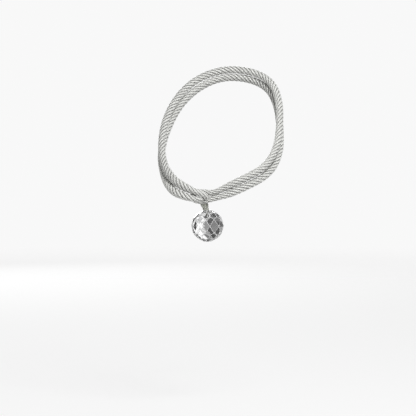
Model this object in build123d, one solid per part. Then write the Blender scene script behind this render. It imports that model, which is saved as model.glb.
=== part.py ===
from build123d import *
import math
import os

# Beaded curtain tieback: one twisted cord folded in half and laid twice round a gathered bundle.
# The fold makes a bight at the front, the two tails pass through it, and a faceted ball that is
# too large for the bight hangs from the bound tails and keeps the loop closed.
# Millimetres, +Z up, -Y to the front. The origin is the place at the back of the loop, under the
# lower strand, where the loop sits on a wall hook.

# Cord
cord_diameter = 7.0
tightest_share = 0.45          # share of the shorter run that each bend takes

# Bound neck that gathers the two tail ends
neck_length = 4.0
neck_wall = 0.3                # binding thread round the tails
neck_foot_diameter = 6.2
neck_foot_shift = 1.8          # the ball hangs a little to the right of the tails

# Faceted ball
ball_diameter = 30.0           # across the corners of the girdle
ball_height = 28.6             # between the two flat tables
facets_round = 10
girdle_tilt = 8.0              # lean of the facets that meet along the girdle
crown_tilt = 62.0              # fourth row, round the table
hanging_turn = 8.0             # turn of the ball on its cord, seen from above
facet_block = 1.5              # rough block, as a multiple of the ball

# Thin cord that is glued into the ball
bead_cord_diameter = 2.0
bead_cord_clearance = 0.1      # round the thin cord, in the neck and in the ball
neck_bore_depth = 2.5
ball_bore_depth = 9.0
bore_end_gap = 0.5             # between the end of the thin cord and the bottom of its bore

# The front crossing, where the tails go through the bight, seen from the origin
crossing_left = 14.0
crossing_front = 90.2
crossing_drop = 107.2
crossing = Vector(-crossing_left, -crossing_front, -crossing_drop)

# The cord's route, measured from the front crossing: right, back and up.
upper_tail = [
    (1.6, 3.2, -8.4),
    (1.6, 3.2, -2.4),
    (1.8, -2.2, 3.6),
    (-4.6, -3.4, 10.0),
    (-18.5, -2.2, 12.8),
]
upper_strand = [
    (-30.5, 2.4, 15.4),
    (-40.4, 20.0, 27.0),
    (-44.6, 37.8, 46.0),
    (-41.5, 58.0, 69.8),
    (-30.2, 75.3, 92.2),
    (-12.2, 86.3, 109.8),
    (12.5, 91.0, 119.7),
    (38.5, 87.0, 118.7),
    (59.6, 74.4, 109.2),
    (68.2, 57.3, 91.6),
    (68.6, 40.8, 69.2),
    (64.0, 24.4, 46.2),
    (51.0, 9.5, 28.7),
    (29.5, 1.0, 16.0),
]
bight = [
    (12.5, 2.0, 9.2),
    (3.0, 5.6, 7.0),
    (-14.8, 5.6, 7.6),
    (-14.8, -5.6, -4.8),
    (3.2, -6.0, -5.8),
    (13.2, -1.6, 1.6),
]
lower_strand = [
    (32.5, 2.0, 8.6),
    (55.0, 12.5, 22.3),
    (67.0, 29.6, 40.8),
    (69.0, 47.2, 64.8),
    (66.0, 62.8, 86.2),
    (56.4, 77.6, 102.2),
    (37.3, 88.0, 110.8),
    (13.5, 91.0, 111.8),
    (-7.8, 87.6, 102.8),
    (-25.8, 78.7, 86.6),
    (-38.5, 63.7, 64.2),
    (-45.0, 44.2, 40.8),
    (-42.9, 24.9, 21.0),
    (-33.5, 4.6, 8.0),
]
lower_tail = [
    (-21.0, -7.0, 4.2),
    (-12.0, -8.5, 4.2),
    (-7.0, -2.4, 2.8),
    (-6.0, 3.2, -2.0),
    (-6.0, 3.2, -8.4),
]
route = [crossing + Vector(*p) for p in upper_tail + upper_strand + bight + lower_strand + lower_tail]

# Places that follow from the route and the sizes above
upper_end = route[0]
lower_end = route[-1]
tail_spacing = abs(upper_end.X - lower_end.X)
neck_top = (upper_end + lower_end) * 0.5
neck_foot = neck_top + Vector(neck_foot_shift, 0, -neck_length)
ball_centre = neck_foot - Vector(0, 0, ball_height / 2)


def bend_radius(before, corner, after):
    """Largest bend at a corner that leaves the two runs beside it their share."""
    arriving = corner - before
    leaving = after - corner
    shorter = min(arriving.length, leaving.length)
    half_turn = math.radians(arriving.get_angle(leaving)) / 2
    return tightest_share * shorter / math.tan(half_turn)


def twisted_cord():
    """The folded cord as a plain round tube of straight runs and tangent bends."""
    corners = zip(route, route[1:], route[2:])
    radii = [bend_radius(*corner) for corner in corners]
    path = FilletPolyline(*route, radius=radii)
    section = Plane(origin=path @ 0, z_dir=path % 0) * Circle(cord_diameter / 2)
    tube = sweep(section, path=path)
    print("bend radii", [round(radius, 1) for radius in radii])
    print("cord length", round(path.length, 1))
    print("volume over section times length", round(tube.volume / (section.area * path.length), 4))
    return tube


def neck_binding():
    """Thread bound round both tail ends, drawn in to a round foot with a bore for the thin cord."""
    width = tail_spacing + cord_diameter + 2 * neck_wall
    depth = cord_diameter + 2 * neck_wall
    top = Plane(origin=neck_top) * SlotOverall(width, depth)
    foot = Plane(origin=neck_foot) * Circle(neck_foot_diameter / 2)
    neck = loft([foot, top])
    bore = Cylinder(
        bead_cord_diameter / 2 + bead_cord_clearance,
        neck_bore_depth,
        align=(Align.CENTER, Align.CENTER, Align.MIN),
    )
    return neck - Pos(*neck_foot) * bore


def facet_plane(turn, tilt, distance):
    """Plane of one facet, facing outwards at a turn round the ball and a tilt above its girdle."""
    facing = Vector(1, 0, 0).rotate(Axis.Y, -tilt).rotate(Axis.Z, turn)
    return Plane(origin=facing * distance, z_dir=facing)


def crystal_ball():
    """Ball cut from a block by rows of flat facets, with a blind bore in its upper table."""
    step = 360 / facets_round
    half_step = math.radians(step / 2)
    girdle = math.radians(girdle_tilt)
    # The girdle facets meet in long lozenges, so the second row runs through their side corners.
    corner_share = math.cos(girdle) * math.cos(half_step)
    flank = math.acos(corner_share)
    flank_tilt = math.degrees(flank)
    facet_distance = ball_diameter / 2 * corner_share
    # The third row stands on the tops of the lozenges.
    lozenge_rise = math.cos(girdle) - corner_share * math.cos(half_step)
    lozenge_top = math.degrees(math.atan2(lozenge_rise, math.sin(flank) - math.sin(girdle)))
    shoulder_tilt = 2 * lozenge_top - girdle_tilt
    rows = [(girdle_tilt, 0), (flank_tilt, step / 2), (shoulder_tilt, 0), (crown_tilt, step / 2)]
    print("facet tilts", [round(tilt, 1) for tilt, start in rows])
    block = ball_diameter * facet_block
    ball = Box(block, block, ball_height)
    for tilt, start in rows:
        for index in range(facets_round):
            for side in (1, -1):
                plane = facet_plane(start + index * step, side * tilt, facet_distance)
                ball = split(ball, bisect_by=plane, keep=Keep.BOTTOM)
    bore = Cylinder(
        bead_cord_diameter / 2 + bead_cord_clearance,
        ball_bore_depth,
        align=(Align.CENTER, Align.CENTER, Align.MAX),
    )
    ball -= Pos(0, 0, ball_height / 2) * bore
    return Pos(*ball_centre) * Rot(0, 0, hanging_turn) * ball


def bead_cord():
    """Thin cord from the bore of the neck down into the bore of the ball."""
    length = neck_bore_depth + ball_bore_depth - 2 * bore_end_gap
    cord = Cylinder(
        bead_cord_diameter / 2,
        length,
        align=(Align.CENTER, Align.CENTER, Align.MAX),
    )
    return Pos(*neck_foot) * Pos(0, 0, neck_bore_depth - bore_end_gap) * cord


pieces = {
    "twisted_cord": twisted_cord(),
    "neck_binding": neck_binding(),
    "bead_cord": bead_cord(),
    "crystal_ball": crystal_ball(),
}

os.makedirs("parts", exist_ok=True)
for name, piece in pieces.items():
    export_step(piece, f"parts/{name}.step")
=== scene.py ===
"""Beaded curtain tieback: a twisted satin cord folded into a loop.

A faceted clear ball hangs from the bound tails of the cord.
"""

import math

import bmesh
import bpy
from mathutils import Matrix, Vector


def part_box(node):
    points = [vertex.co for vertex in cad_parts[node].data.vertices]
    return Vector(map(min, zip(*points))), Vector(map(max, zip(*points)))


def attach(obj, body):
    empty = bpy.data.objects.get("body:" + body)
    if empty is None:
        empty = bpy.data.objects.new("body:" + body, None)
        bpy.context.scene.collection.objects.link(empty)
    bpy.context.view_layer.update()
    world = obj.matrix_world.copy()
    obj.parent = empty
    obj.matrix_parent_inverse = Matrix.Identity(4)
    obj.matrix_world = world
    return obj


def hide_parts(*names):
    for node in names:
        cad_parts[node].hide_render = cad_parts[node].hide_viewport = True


bl_info = {
    "name": "Beaded Curtain Tieback",
    "version": (1, 0, 0),
    "blender": (4, 5, 0),
    "location": "View3D > Sidebar > Tieback",
    "description": "Builds a twisted cord tieback with a faceted clear ball on the packed frame",
    "category": "Object",
}

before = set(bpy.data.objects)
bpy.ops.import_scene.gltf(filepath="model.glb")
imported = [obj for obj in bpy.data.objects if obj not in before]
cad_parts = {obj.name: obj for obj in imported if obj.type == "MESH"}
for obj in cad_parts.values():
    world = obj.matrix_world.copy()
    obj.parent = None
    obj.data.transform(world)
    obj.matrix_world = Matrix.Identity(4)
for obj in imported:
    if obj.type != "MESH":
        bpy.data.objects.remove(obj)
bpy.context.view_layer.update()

MM = 0.001

# The front crossing, where the tails go through the bight, seen from the origin of the part.
CROSSING = Vector((-14.0, -90.2, -107.2))

# The cord's route from the front crossing, in millimetres: right, back and up.
UPPER_TAIL = [
    (-2.4, 3.2, -9.0),
    (-2.2, 5.2, -6.4),
    (-1.7, 5.0, -0.4),
    (-1.4, -2.8, -0.2),
    (-4.4, -6.4, 1.8),
    (-13.0, -5.4, 5.0),
    (-22.0, -2.0, 9.0),
]
UPPER_STRAND = [
    (-30.6, 4.4, 14.4),
    (-39.8, 20.0, 25.4),
    (-43.8, 37.8, 44.6),
    (-40.9, 58.0, 68.8),
    (-30.0, 75.3, 91.8),
    (-12.2, 86.3, 109.4),
    (12.5, 91.0, 119.3),
    (38.5, 87.0, 118.3),
    (59.4, 74.4, 108.7),
    (66.8, 57.3, 90.6),
    (67.2, 40.8, 68.0),
    (64.0, 24.4, 43.8),
    (52.2, 9.5, 26.0),
    (30.0, 1.4, 14.8),
]
BIGHT = [
    (15.0, 0.6, 7.8),
    (5.0, 0.4, 3.0),
    (-4.5, 0.8, 4.0),
    (-13.4, 0.8, 4.4),
    (-13.4, -0.2, -3.4),
    (-4.5, -0.4, -4.4),
    (5.0, -0.6, -1.6),
    (15.0, -0.4, 0.6),
]
LOWER_STRAND = [
    (32.5, 2.0, 7.8),
    (56.2, 12.2, 19.9),
    (66.8, 29.3, 39.0),
    (67.6, 47.0, 64.4),
    (65.0, 62.8, 86.1),
    (56.4, 77.6, 102.4),
    (37.3, 88.0, 111.0),
    (13.5, 91.0, 112.0),
    (-7.8, 87.6, 103.0),
    (-25.8, 78.7, 86.8),
    (-38.0, 63.5, 64.0),
    (-44.3, 44.0, 40.2),
    (-41.4, 26.0, 19.6),
    (-33.0, 3.4, 5.2),
]
LOWER_TAIL = [
    (-22.2, -5.2, 0.7),
    (-13.0, -6.8, -2.0),
    (-7.6, -6.8, -2.4),
    (-5.6, -2.6, -0.6),
    (-5.8, 4.8, -0.2),
    (-4.9, 5.2, -6.4),
    (-4.4, 3.2, -9.0),
]
WHOLE_ROUTE = UPPER_TAIL + UPPER_STRAND + BIGHT + LOWER_STRAND + LOWER_TAIL
ROUTE = [(CROSSING + Vector(point)) * MM for point in WHOLE_ROUTE]

# How finely the cord is drawn
STEPS_A_POINT = 24                  # along the smooth line, for each point of the route
STEPS_A_LAY = 32                    # along the cord, while a strand goes once round
POINTS_A_LOBE = 8                   # across the outline of one strand
LOBE_HALF = math.radians(89.0)      # from the crown of a strand to the groove beside it

THREAD_RELIEF = 0.0001              # depth of the finest threads, in metres


class Value:
    """A shader socket that takes part in ordinary arithmetic; each sum adds its Math node."""

    def __init__(self, finish, socket):
        self.finish = finish
        self.socket = socket

    def math(self, operation, *terms):
        return self.finish.node("ShaderNodeMath", {"operation": operation}, dict(enumerate(terms)))

    def __add__(self, other):
        return self.math("ADD", self, other)

    def __radd__(self, other):
        return self.math("ADD", other, self)

    def __sub__(self, other):
        return self.math("SUBTRACT", self, other)

    def __rsub__(self, other):
        return self.math("SUBTRACT", other, self)

    def __mul__(self, other):
        return self.math("MULTIPLY", self, other)

    def __rmul__(self, other):
        return self.math("MULTIPLY", other, self)

    def sine(self):
        return self.math("SINE", self)

    def wave(self):
        """The sine, brought between 0 and 1."""
        return self.sine() * 0.5 + 0.5

    def ramp(self, low, high):
        """0 at low, 1 at high and smooth between them."""
        settings = {"interpolation_type": "SMOOTHSTEP"}
        sockets = {"Value": self, "From Min": low, "From Max": high}
        return self.finish.node("ShaderNodeMapRange", settings, sockets)

    def beside(self, name):
        """Another output of the same node."""
        return Value(self.finish, self.socket.node.outputs[name])


class Finish:
    """A material or world whose nodes are added one call at a time."""

    def __init__(self, owner):
        owner.use_nodes = True
        self.owner = owner
        self.tree = owner.node_tree
        self.tree.nodes.clear()

    def node(self, kind, settings=None, sockets=None, output=0):
        """Add a node, set its settings and then its sockets, and return one of its outputs."""
        made = self.tree.nodes.new(kind)
        for name, value in (settings or {}).items():
            setattr(made, name, value)
        for name, value in (sockets or {}).items():
            if isinstance(value, Value):
                self.tree.links.new(value.socket, made.inputs[name])
            else:
                made.inputs[name].default_value = value
        if not made.outputs:
            return None
        return Value(self, made.outputs[output])

    def mix(self, factor, dark, light):
        """Colour between two colours."""
        # A Mix node has sockets for every type of data: 6 and 7 take colours, and 2 gives one.
        settings = {"data_type": "RGBA"}
        return self.node("ShaderNodeMix", settings, {"Factor": factor, 6: dark, 7: light}, output=2)

    def place(self):
        """Place on the object, in metres."""
        return self.node("ShaderNodeTexCoord", output="Object")

    def noise(self, scale, detail):
        """Fine noise that stays with the object."""
        sockets = {"Vector": self.place(), "Scale": scale, "Detail": detail}
        return self.node("ShaderNodeTexNoise", None, sockets)

    def relief(self, strength, height):
        """Shading of fine threads."""
        sockets = {"Strength": strength, "Distance": THREAD_RELIEF, "Height": height}
        return self.node("ShaderNodeBump", None, sockets)

    def surface(self, sockets):
        """The shader that the whole surface has."""
        shader = self.node("ShaderNodeBsdfPrincipled", None, sockets)
        self.node("ShaderNodeOutputMaterial", None, {"Surface": shader})
        return self.owner


def rgba(colour, share=1.0):
    """A colour property as a shader colour, darkened or lightened to a share of itself."""
    return (colour[0] * share, colour[1] * share, colour[2] * share, 1.0)


def new_piece(name, mesh, material):
    """Link a mesh as a piece of the tieback, carried by the one body."""
    piece = bpy.data.objects.new(name, mesh)
    bpy.context.scene.collection.objects.link(piece)
    mesh.materials.append(material)
    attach(piece, "root")
    return piece


class CordSettings(bpy.types.PropertyGroup):
    diameter: bpy.props.FloatProperty(
        name="Diameter", description="Thickness of the twisted cord",
        default=0.007, unit="LENGTH")
    strands: bpy.props.IntProperty(
        name="Strands", description="Number of strands laid round the core",
        default=6)
    lay: bpy.props.FloatProperty(
        name="Lay", description="Length of cord in which a strand goes once round",
        default=0.027, unit="LENGTH")
    strand_radius: bpy.props.FloatProperty(
        name="Strand Radius", description="Radius of one strand",
        default=0.00108, unit="LENGTH")
    squeeze: bpy.props.FloatProperty(
        name="Squeeze", description="Share of its thickness that the cord loses in the crossing",
        default=0.22, subtype="FACTOR")
    spread: bpy.props.FloatProperty(
        name="Spread", description="Share by which the cord spreads where the left-hand pair lies flat",
        default=0.15, subtype="FACTOR")
    drawn_in: bpy.props.FloatProperty(
        name="Drawn In", description="Share of its thickness that the cord loses inside the bound neck",
        default=0.25, subtype="FACTOR")
    colour: bpy.props.FloatVectorProperty(
        name="Colour", description="Satin yarn",
        default=(0.60, 0.603, 0.579), subtype="COLOR")
    thread_colour: bpy.props.FloatVectorProperty(
        name="Thread Colour", description="Thread of the bound neck",
        default=(0.43, 0.44, 0.39), subtype="COLOR")


class BallSettings(bpy.types.PropertyGroup):
    diameter: bpy.props.FloatProperty(
        name="Diameter", description="Width across the corners of the girdle",
        default=0.030, unit="LENGTH")
    facets: bpy.props.IntProperty(
        name="Facets", description="Facets in each row round the ball",
        default=10)
    edge: bpy.props.FloatProperty(
        name="Edge", description="Width of the ground edges between facets",
        default=0.0005, unit="LENGTH")
    colour: bpy.props.FloatVectorProperty(
        name="Colour", description="Clear glass",
        default=(0.985, 0.985, 0.985), subtype="COLOR")


class StageSettings(bpy.types.PropertyGroup):
    floor_colour: bpy.props.FloatVectorProperty(
        name="Floor Colour", description="Plain pale floor",
        default=(0.94, 0.94, 0.94), subtype="COLOR")
    key_power: bpy.props.FloatProperty(
        name="Key Power", description="Soft lamp high on the right",
        default=31.0, unit="POWER")
    fill_power: bpy.props.FloatProperty(
        name="Fill Power", description="Weaker lamp low on the left",
        default=6.0, unit="POWER")
    back_power: bpy.props.FloatProperty(
        name="Back Power", description="Soft lamp behind the loop",
        default=14.0, unit="POWER")


def route_line():
    """Places along the smooth line that the route's points control."""
    curve = bpy.data.curves.new("route", "CURVE")
    curve.dimensions = "3D"
    curve.resolution_u = STEPS_A_POINT
    spline = curve.splines.new("NURBS")
    spline.points.add(len(ROUTE) - 1)
    for point, place in zip(spline.points, ROUTE):
        point.co = (*place, 1.0)
    spline.order_u = 3
    spline.use_endpoint_u = True
    holder = bpy.data.objects.new("route", curve)
    bpy.context.scene.collection.objects.link(holder)
    line = bpy.data.meshes.new_from_object(holder)
    places = [vertex.co.copy() for vertex in line.vertices]
    bpy.data.objects.remove(holder)
    bpy.data.curves.remove(curve)
    bpy.data.meshes.remove(line)
    return places


def even_steps(places, step):
    """The same line in steps of one length, and the length of the whole line."""
    evened = [places[0]]
    reached = 0.0
    for before, after in zip(places, places[1:]):
        run = (after - before).length
        while reached + run >= step * len(evened):
            share = (step * len(evened) - reached) / run
            evened.append(before.lerp(after, share))
        reached += run
    return evened, reached


def smooth_fall(distance, near, far):
    """1 up to the near distance, 0 past the far one and smooth between them."""
    share = min(max((far - distance) / (far - near), 0.0), 1.0)
    return share * share * (3.0 - 2.0 * share)


def strand_profile(cord):
    """Outline across the cord: one round lobe for each strand."""
    outline = bpy.data.curves.new("strand_profile", "CURVE")
    spline = outline.splines.new("POLY")
    spline.use_cyclic_u = True
    spline.points.add(cord.strands * POINTS_A_LOBE - 1)
    middle = cord.diameter / 2 - cord.strand_radius
    half_width = middle * math.tan(math.pi / cord.strands)
    for index, point in enumerate(spline.points):
        strand, place = divmod(index, POINTS_A_LOBE)
        lobe = LOBE_HALF * (2 * place / (POINTS_A_LOBE - 1) - 1)
        outward = middle + cord.strand_radius * math.cos(lobe)
        turn = Matrix.Rotation(math.tau * strand / cord.strands, 3, "Z")
        point.co = (*(turn @ Vector((outward, half_width * math.sin(lobe), 0.0))), 1.0)
    holder = bpy.data.objects.new("strand_profile", outline)
    bpy.context.scene.collection.objects.link(holder)
    return holder


class TIEBACK_OT_cord(bpy.types.Operator):
    """Lay the twisted cord's strands along its route"""
    bl_idname = "tieback.cord"
    bl_label = "Twisted Cord"

    left_pair = (-0.032, 0.006, 0.014)      # middle of the left-hand pair, from the crossing
    # The distance within which the cord is wholly changed, and the one at which the change ends
    crossed_reach = (0.010, 0.024)
    flat_reach = (0.010, 0.026)
    bound_reach = (0.001, 0.006)
    same_place = 1e-6

    def execute(self, context):
        cord = context.scene.tieback_cord
        step = cord.lay / STEPS_A_LAY
        places, length = even_steps(route_line(), step)
        rope = bpy.data.curves.new("rope", "CURVE")
        rope.dimensions = "3D"
        rope.twist_mode = "MINIMUM"
        rope.bevel_mode = "OBJECT"
        rope.bevel_object = strand_profile(cord)
        rope.use_fill_caps = True
        self.twist(rope, places, step, cord)
        holder = bpy.data.objects.new("rope", rope)
        context.scene.collection.objects.link(holder)
        graph = context.evaluated_depsgraph_get()
        mesh = bpy.data.meshes.new_from_object(holder.evaluated_get(graph), depsgraph=graph)
        bpy.data.objects.remove(rope.bevel_object)
        bpy.data.objects.remove(holder)
        self.close(mesh)
        yarn = satin_yarn("satin_yarn", cord.colour, cord.strands, length / cord.lay)
        piece = new_piece("satin_cord", mesh, yarn)
        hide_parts("twisted_cord")
        return {"FINISHED"}

    def twist(self, rope, places, step, cord):
        """Turn the strands along the line; the cord is thinner in the knot and the neck."""
        spline = rope.splines.new("POLY")
        last = len(places) - 1
        spline.points.add(last)
        crossing = CROSSING * MM
        left_pair = crossing + Vector(self.left_pair)
        for index, (point, place) in enumerate(zip(spline.points, places)):
            crossed = smooth_fall((place - crossing).length, *self.crossed_reach)
            flat = smooth_fall((place - left_pair).length, *self.flat_reach)
            bound = smooth_fall(min(index, last - index) * step, *self.bound_reach)
            width = 1.0 - cord.squeeze * crossed + cord.spread * flat
            point.co = (*place, 1.0)
            point.tilt = math.tau * index / STEPS_A_LAY
            point.radius = width * (1.0 - cord.drawn_in * bound)

    def close(self, mesh):
        """Join the ends to the sides, which a bevelled curve leaves apart, and face all outwards."""
        shape = bmesh.new()
        shape.from_mesh(mesh)
        bmesh.ops.remove_doubles(shape, verts=shape.verts, dist=self.same_place)
        bmesh.ops.recalc_face_normals(shape, faces=shape.faces)
        shape.to_mesh(mesh)
        shape.free()


def satin_yarn(name, colour, strands, turns):
    """Satin yarn: painted shade in the grooves between the strands and painted light on their crowns,
    fine slanting threads on them and a soft sheen.
    """
    threads_round = 48
    painted_light_start = 0.8                 # height on a strand above which it is lightest
    # What the painted shade across a strand, its threads and uneven dye each give to the tone
    painted_shade_share, thread_share, dye_share = 0.76, 0.13, 0.11
    # Painted shade in the grooves and painted light on the crowns, as shares of the yarn's colour
    painted_groove_shade, painted_crown_light = 0.17, 1.27
    least_rough, uneven_rough = 0.27, 0.14
    finish = Finish(bpy.data.materials.new(name))
    chart = finish.node("ShaderNodeTexCoord", output="UV")
    along = finish.node("ShaderNodeSeparateXYZ", None, {"Vector": chart})
    across = along.beside("Y")
    threads = ((across + along * turns) * (threads_round * math.tau)).wave()
    # Painted shade across each strand: 0 in the groove beside it, 1 on its crown
    painted_strand_shade = (across * (strands * math.tau) - math.pi / 2).wave()
    dye = finish.noise(scale=420.0, detail=3.0)
    painted_shade_threads_and_dye = painted_strand_shade.ramp(0.0, painted_light_start) * painted_shade_share + threads * thread_share + dye * dye_share
    return finish.surface({
        "Base Color": finish.mix(painted_shade_threads_and_dye, rgba(colour, painted_groove_shade), rgba(colour, painted_crown_light)),
        "Roughness": least_rough + dye * uneven_rough,
        "Sheen Weight": 0.15,
        "Sheen Roughness": 0.4,
        "Specular IOR Level": 0.6,
        "Normal": finish.relief(strength=0.6, height=threads),
    })


class TIEBACK_OT_neck(bpy.types.Operator):
    """Wind the thread round both tail ends"""
    bl_idname = "tieback.neck"
    bl_label = "Bound Neck"

    turns = 8
    rings_a_turn = 6
    sides = 48
    thread = 0.00035                  # how far each turn of thread stands out
    tails_middle = (-3.4, 3.2)        # between the tail ends, right and back of the crossing, in mm
    rise = 0.0016                     # how far the thread goes up round the tails
    foot_shift = 0.0016               # the ball hangs a little to the right of the tails
    top_half = (0.0036, 0.0031)       # half the width and depth inside the thread
    foot_half = (0.0025, 0.0025)
    taper = 1.6                       # the neck is drawn in before it reaches its foot

    def execute(self, context):
        cord = context.scene.tieback_cord
        low, high = (Vector(corner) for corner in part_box("neck_binding"))
        right, back = self.tails_middle
        top = Vector((CROSSING.x + right, CROSSING.y + back, 0.0)) * MM
        top.z = high.z + self.rise
        foot = Vector((top.x + self.foot_shift, top.y, low.z))
        shape = bmesh.new()
        rim = bmesh.ops.create_circle(shape, segments=self.sides, radius=1.0)["verts"]
        angles = {vertex: math.atan2(vertex.co.y, vertex.co.x) for vertex in rim}
        edges = list(shape.edges)
        bmesh.ops.contextual_create(shape, geom=edges)
        count = self.turns * self.rings_a_turn
        for step in range(count + 1):
            share = step / count
            self.wind(angles, top.lerp(foot, share), share)
            if step == count:
                break
            grown = bmesh.ops.extrude_edge_only(shape, edges=edges)["geom"]
            edges = [item for item in grown if isinstance(item, bmesh.types.BMEdge) and item.is_boundary]
            angles = self.carried(angles, grown)
        bmesh.ops.contextual_create(shape, geom=edges)
        bmesh.ops.recalc_face_normals(shape, faces=shape.faces)
        for face in shape.faces:
            face.smooth = len(face.verts) == 4
        mesh = bpy.data.meshes.new("bound_neck")
        shape.to_mesh(mesh)
        shape.free()
        piece = new_piece("bound_neck", mesh, bound_thread("bound_thread", cord.thread_colour))
        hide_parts("neck_binding")
        return {"FINISHED"}

    def carried(self, angles, grown):
        """The angles of the last ring, for the vertices that were grown from it."""
        fresh = [item for item in grown if isinstance(item, bmesh.types.BMVert)]
        return {
            vertex: angles[edge.other_vert(vertex)]
            for vertex in fresh for edge in vertex.link_edges if edge.other_vert(vertex) in angles}

    def wind(self, angles, middle, share):
        """Place one ring of the neck, with the ridge of thread where it passes."""
        half = Vector(self.top_half).lerp(Vector(self.foot_half), min(share * self.taper, 1.0))
        for vertex, angle in angles.items():
            ridge = self.thread * abs(math.sin(math.pi * (self.turns * share + angle / math.tau)))
            right = (half.x + ridge) * math.cos(angle)
            back = (half.y + ridge) * math.sin(angle)
            vertex.co = middle + Vector((right, back, 0.0))


def bound_thread(name, colour):
    """Thread wound side by side, a little worn and uneven in tone."""
    worn_tone, fresh_tone = 0.75, 1.2
    least_rough, uneven_rough = 0.45, 0.25
    finish = Finish(bpy.data.materials.new(name))
    fibre = finish.noise(scale=1600.0, detail=4.0)
    return finish.surface({
        "Base Color": finish.mix(fibre, rgba(colour, worn_tone), rgba(colour, fresh_tone)),
        "Roughness": least_rough + fibre * uneven_rough,
        "Sheen Weight": 0.15,
        "Normal": finish.relief(strength=0.3, height=fibre),
    })


class TIEBACK_OT_bead_cord(bpy.types.Operator):
    """Give the thin cord inside the ball its waxed thread"""
    bl_idname = "tieback.bead_cord"
    bl_label = "Bead Cord"

    def execute(self, context):
        cord = context.scene.tieback_cord
        node = bpy.data.objects["bead_cord"]
        node.data.materials.clear()
        node.data.materials.append(bound_thread("waxed_thread", cord.thread_colour))
        return {"FINISHED"}


class TIEBACK_OT_ball(bpy.types.Operator):
    """Cut the faceted ball, grind its edges and sink its bore"""
    bl_idname = "tieback.ball"
    bl_label = "Crystal Ball"

    girdle_tilt = math.radians(8.0)
    crown_tilt = math.radians(62.0)
    hanging_turn = math.radians(8.0)
    rough_block = 1.5                 # width of the block, as a multiple of the ball
    bore_radius = 0.0011
    bore_depth = 0.009
    touching = 1e-7                   # a cut this near to a corner goes through it
    same_corner = 2e-6
    on_girdle = 1e-5

    def execute(self, context):
        ball = context.scene.tieback_ball
        low, high = (Vector(corner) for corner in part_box("crystal_ball"))
        step = math.tau / ball.facets
        shape = bmesh.new()
        self.cut_facets(shape, ball, step, high.z - low.z)
        self.grind_edges(shape, ball.edge)
        self.sink_bore(shape, step)
        bmesh.ops.translate(shape, verts=shape.verts, vec=(low + high) / 2)
        for face in shape.faces:
            face.smooth = False
        mesh = bpy.data.meshes.new("faceted_ball")
        shape.to_mesh(mesh)
        shape.free()
        piece = new_piece("faceted_ball", mesh, clear_glass("clear_glass", ball.colour))
        ground = clear_glass("ground_edges", ball.colour, share=0.8, dulled=0.5, through=0.45)
        mesh.materials.append(ground)
        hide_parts("crystal_ball")
        return {"FINISHED"}

    def cut_facets(self, shape, ball, step, height):
        """Cut rows of flat facets from a block, each row above the girdle and again below it."""
        girdle = self.girdle_tilt
        # The girdle facets meet in long lozenges, so the second row runs through their side corners.
        share = math.cos(girdle) * math.cos(step / 2)
        flank = math.acos(share)
        reach = ball.diameter / 2 * share
        # The third row stands on the tops of the lozenges.
        rise = math.cos(girdle) - share * math.cos(step / 2)
        top = math.atan2(rise, math.sin(flank) - math.sin(girdle))
        rows = [(girdle, 0.0), (flank, step / 2), (2 * top - girdle, 0.0), (self.crown_tilt, step / 2)]
        width = ball.diameter * self.rough_block
        bmesh.ops.create_cube(shape, size=1.0, matrix=Matrix.Diagonal((width, width, height, 1.0)))
        for tilt, start in rows:
            for index in range(ball.facets):
                turn = start + index * step + self.hanging_turn
                level = Vector((math.cos(turn), math.sin(turn), 0.0)) * math.cos(tilt)
                for side in (1, -1):
                    facing = level + Vector((0.0, 0.0, side * math.sin(tilt)))
                    self.cut(shape, facing, reach)
        bmesh.ops.remove_doubles(shape, verts=shape.verts, dist=self.same_corner)
        bmesh.ops.recalc_face_normals(shape, faces=shape.faces)

    def cut(self, shape, facing, reach):
        """Cut off what lies beyond one facet and close the cut."""
        cut = bmesh.ops.bisect_plane(
            shape, geom=shape.verts[:] + shape.edges[:] + shape.faces[:], dist=self.touching,
            plane_co=facing * reach, plane_no=facing, clear_outer=True)
        rim = [item for item in cut["geom_cut"] if isinstance(item, bmesh.types.BMEdge)]
        if rim:
            bmesh.ops.contextual_create(shape, geom=rim)

    def grind_edges(self, shape, width):
        """Grind every edge but those of the girdle, which stay sharp."""
        edges = [
            edge for edge in shape.edges
            if any(abs(vertex.co.z) > self.on_girdle for vertex in edge.verts)]
        ground = bmesh.ops.bevel(
            shape, geom=edges, offset=width / 2, offset_type="OFFSET", segments=2, profile=0.5,
            affect="EDGES", material=-1, clamp_overlap=True)["faces"]
        for face in ground:
            face.material_index = 1

    def sink_bore(self, shape, step):
        """Sink the blind bore for the thin cord in the middle of the upper table."""
        table = max(shape.faces, key=lambda face: (face.calc_center_median().z, face.calc_area()))
        across = min(vertex.co.xy.length for vertex in table.verts)
        margin = (across - self.bore_radius) * math.cos(step / 2)
        bmesh.ops.inset_region(shape, faces=[table], thickness=margin)
        sunk = bmesh.ops.extrude_discrete_faces(shape, faces=[table])["faces"]
        bmesh.ops.translate(shape, verts=sunk[0].verts, vec=(0.0, 0.0, -self.bore_depth))


def clear_glass(name, colour, share=1.0, dulled=0.0, through=1.0):
    """Clear glass with the faintest haze, duller and paler where it is ground."""
    most_haze = 0.03
    finish = Finish(bpy.data.materials.new(name))
    haze = finish.noise(scale=260.0, detail=2.0)
    return finish.surface({
        "Base Color": rgba(colour, share),
        "Roughness": dulled + haze * most_haze,
        "IOR": 1.52,
        "Transmission Weight": through,
    })


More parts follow.
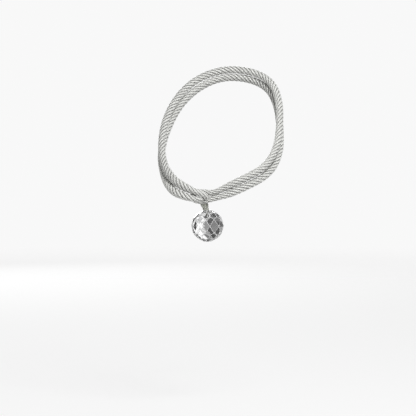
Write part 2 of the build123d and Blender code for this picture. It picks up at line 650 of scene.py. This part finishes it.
class TIEBACK_OT_stage(bpy.types.Operator):
    """Set the pale floor, the soft lamps and the camera"""
    bl_idname = "tieback.stage"
    bl_label = "Stage"

    floor_height = -0.30
    floor_radius = 3.0
    floor_sides = 96
    floor_fade = (0.6, 2.6)           # from the middle, where the floor starts to fade and is gone
    floor_glow = 0.7                  # share of its plain colour that the camera sees

    # Brightness of what the camera sees behind the object, and of what lights matt surfaces
    background = 0.94
    ambient = 0.22
    # Brightness of what gloss and glass show
    dim_side = 0.07
    dim_bars = 0.16                   # added by the upright bars on the left
    lit_side = 0.62                   # added on the right
    lit_bars = 0.36                   # added by the upright bars on the right
    dark_strip = 0.05                 # taken off in one strip on the left
    low_share = 0.75                  # share of the brightness that is left low down
    # Where that changes, in a direction's parts to the right and up, each from -1 to 1
    bars_to_right = 18.0              # radians of the bars' wave for each part
    bars_to_top = 4.0
    bars_start = 1.6
    bars_edge = (-0.4, 0.2)           # height in the wave, from between the bars to a bar
    strip_left = (-0.7, -0.5)
    strip_right = (-0.45, -0.25)
    lit_edge = (-0.03, 0.12)
    low_edge = (-0.7, -0.4)

    # Lamps, seen from the crossing
    key_place = (0.6, -1.0, 1.45)
    key_size = 0.9
    fill_place = (-1.5, -1.2, 0.3)
    fill_size = 1.0
    back_place = (-0.5, 1.7, 0.6)
    back_size = 1.2

    sensor_width = 36.0
    view_width = 0.3782               # across the picture, at the crossing
    view_drop = 0.0104                # from the crossing down to the middle of the picture
    camera_distance = 1.6
    camera_lift = math.radians(2.0)

    def execute(self, context):
        scene = context.scene
        stage = scene.tieback_stage
        scene.view_settings.view_transform = "Standard"
        self.floor(scene, stage.floor_colour)
        self.world(scene)
        self.lamp(scene, "key_lamp", self.key_place, self.key_size, stage.key_power)
        self.lamp(scene, "fill_lamp", self.fill_place, self.fill_size, stage.fill_power)
        back = self.lamp(scene, "back_lamp", self.back_place, self.back_size, stage.back_power)
        # The square of this lamp would show through the ball.
        back.visible_transmission = False
        self.camera(scene)
        return {"FINISHED"}

    def floor(self, scene, colour):
        """A wide round floor that fades out before its rim."""
        mesh = bpy.data.meshes.new("floor")
        shape = bmesh.new()
        bmesh.ops.create_circle(
            shape, cap_ends=True, segments=self.floor_sides, radius=self.floor_radius,
            matrix=Matrix.Translation((0.0, 0.0, self.floor_height)))
        shape.to_mesh(mesh)
        shape.free()
        finish = Finish(bpy.data.materials.new("pale_floor"))
        settings = {"operation": "LENGTH"}
        distance = finish.node("ShaderNodeVectorMath", settings, {0: finish.place()}, output="Value")
        matt = finish.node("ShaderNodeBsdfDiffuse", None, {"Color": rgba(colour)})
        pale = finish.node("ShaderNodeEmission", None, {"Color": rgba(colour), "Strength": 1.0})
        straight = finish.node("ShaderNodeLightPath", output="Is Camera Ray")
        glow = straight * self.floor_glow
        solid = finish.node("ShaderNodeMixShader", None, {0: glow, 1: matt, 2: pale})
        clear = finish.node("ShaderNodeBsdfTransparent")
        gone = distance.ramp(*self.floor_fade)
        faded = finish.node("ShaderNodeMixShader", None, {0: gone, 1: solid, 2: clear})
        finish.node("ShaderNodeOutputMaterial", None, {"Surface": faded})
        mesh.materials.append(finish.owner)
        floor = bpy.data.objects.new("floor", mesh)
        floor.visible_glossy = False
        floor.visible_transmission = False
        scene.collection.objects.link(floor)

    def world(self, scene):
        """Pale surroundings; what gloss and glass show is light on the right and dim on the left."""
        scene.world = scene.world or bpy.data.worlds.new("pale_surroundings")
        finish = Finish(scene.world)
        way = finish.node("ShaderNodeTexCoord", output="Generated")
        right = finish.node("ShaderNodeSeparateXYZ", None, {"Vector": way})
        up = right.beside("Z")
        wave = (right * self.bars_to_right + up * self.bars_to_top + self.bars_start).sine()
        bars = wave.ramp(*self.bars_edge)
        strip = right.ramp(*self.strip_left) * (1.0 - right.ramp(*self.strip_right))
        lit = right.ramp(*self.lit_edge)
        high = up.ramp(*self.low_edge)
        dim_side = self.dim_side + bars * self.dim_bars - strip * self.dark_strip
        lit_side = lit * (self.lit_side + bars * self.lit_bars)
        around = (dim_side + lit_side) * (self.low_share + high * (1.0 - self.low_share))
        straight = finish.node("ShaderNodeLightPath", output="Is Camera Ray")
        mirrored = straight.beside("Is Glossy Ray")
        shown = mirrored.math("MAXIMUM", mirrored, straight.beside("Is Transmission Ray"))
        other = shown * around + (1.0 - shown) * self.ambient
        strength = straight * self.background + (1.0 - straight) * other
        white = rgba((1.0, 1.0, 1.0))
        light = finish.node("ShaderNodeBackground", None, {"Color": white, "Strength": strength})
        finish.node("ShaderNodeOutputWorld", None, {"Surface": light})

    def lamp(self, scene, name, place, size, power):
        """One square soft lamp that faces the crossing."""
        data = bpy.data.lights.new(name, "AREA")
        data.shape = "SQUARE"
        data.size = size
        data.energy = power
        lamp = bpy.data.objects.new(name, data)
        lamp.location = CROSSING * MM + Vector(place)
        lamp.rotation_euler = (-Vector(place)).to_track_quat("-Z", "Y").to_euler()
        scene.collection.objects.link(lamp)
        return lamp

    def camera(self, scene):
        """A long lens in front of the crossing, looking almost level."""
        aim = CROSSING * MM - Vector((0.0, 0.0, self.view_drop))
        away = Vector((0.0, -math.cos(self.camera_lift), math.sin(self.camera_lift)))
        data = bpy.data.cameras.new("camera")
        data.sensor_width = self.sensor_width
        data.lens = self.sensor_width * self.camera_distance / self.view_width
        camera = bpy.data.objects.new("camera", data)
        camera.location = aim + away * self.camera_distance
        camera.rotation_euler = (-away).to_track_quat("-Z", "Y").to_euler()
        scene.collection.objects.link(camera)
        scene.camera = camera


class TIEBACK_PT_panel(bpy.types.Panel):
    """The tieback's pieces and their sizes"""
    bl_label = "Curtain Tieback"
    bl_idname = "TIEBACK_PT_panel"
    bl_space_type = "VIEW_3D"
    bl_region_type = "UI"
    bl_category = "Tieback"

    def draw(self, context):
        for group in ("tieback_cord", "tieback_ball", "tieback_stage"):
            settings = getattr(context.scene, group)
            column = self.layout.column()
            for name in settings.__annotations__:
                column.prop(settings, name)
        for operator in OPERATORS:
            self.layout.operator(operator.bl_idname)


OPERATORS = (TIEBACK_OT_cord, TIEBACK_OT_neck, TIEBACK_OT_bead_cord, TIEBACK_OT_ball, TIEBACK_OT_stage)
CLASSES = (CordSettings, BallSettings, StageSettings, *OPERATORS, TIEBACK_PT_panel)


def register():
    for each in CLASSES:
        bpy.utils.register_class(each)
    bpy.types.Scene.tieback_cord = bpy.props.PointerProperty(type=CordSettings)
    bpy.types.Scene.tieback_ball = bpy.props.PointerProperty(type=BallSettings)
    bpy.types.Scene.tieback_stage = bpy.props.PointerProperty(type=StageSettings)


def unregister():
    del bpy.types.Scene.tieback_stage
    del bpy.types.Scene.tieback_ball
    del bpy.types.Scene.tieback_cord
    for each in reversed(CLASSES):
        bpy.utils.unregister_class(each)


def main():
    register()
    bpy.ops.tieback.cord()
    bpy.ops.tieback.neck()
    bpy.ops.tieback.bead_cord()
    bpy.ops.tieback.ball()
    bpy.ops.tieback.stage()


if __name__ == "__main__":
    main()
